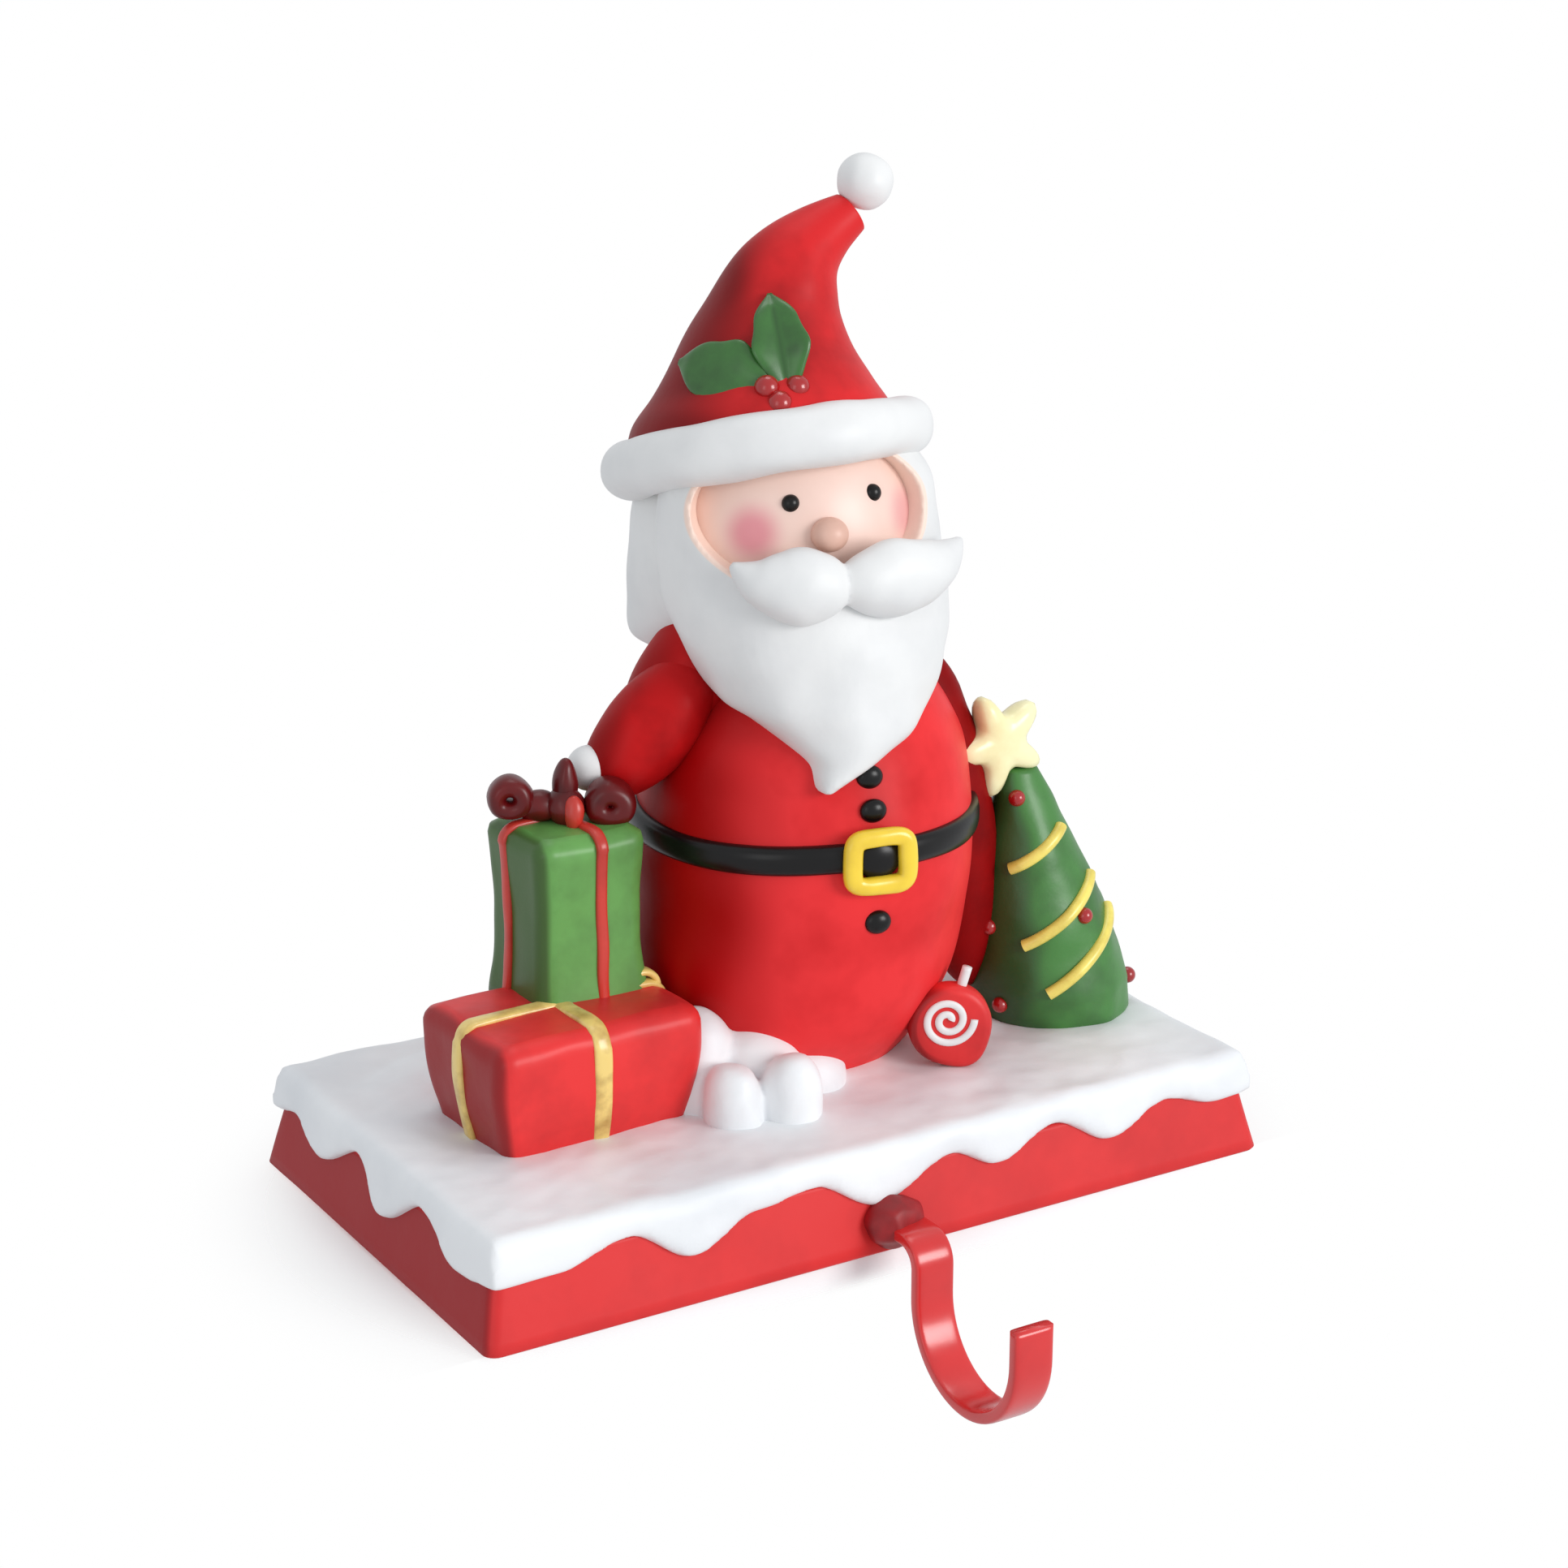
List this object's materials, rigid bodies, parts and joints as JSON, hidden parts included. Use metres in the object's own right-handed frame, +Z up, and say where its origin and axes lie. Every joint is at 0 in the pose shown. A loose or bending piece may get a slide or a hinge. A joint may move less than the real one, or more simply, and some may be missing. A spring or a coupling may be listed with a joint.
{
  "type": "mantel stocking holder",
  "caption": "Painted resin winter figure with gifts and a tree on a snowy weighted slab, with a bent steel strip hook at the front edge that holds a stocking.",
  "frame": {"origin": "centre of the resting face, the underside of the felt pad, which stands on the shelf; the hook reaches below it in front of the shelf", "axes": "+Z up, -Y to the front, where the hook is, +X to the right of someone who faces the front, where the tree stands"},
  "size_m": [0.165, 0.1362, 0.2074],
  "materials": {
    "painted_resin": "hand-painted semi-gloss polyresin",
    "painted_steel": "red gloss enamel on bent steel strip",
    "felt": "pressed felt sheet"
  },
  "bodies": {
    "root": {"figure_casting": "painted_resin", "stocking_hook": "painted_steel", "felt_pad": "felt"}
  },
  "joints": []
}
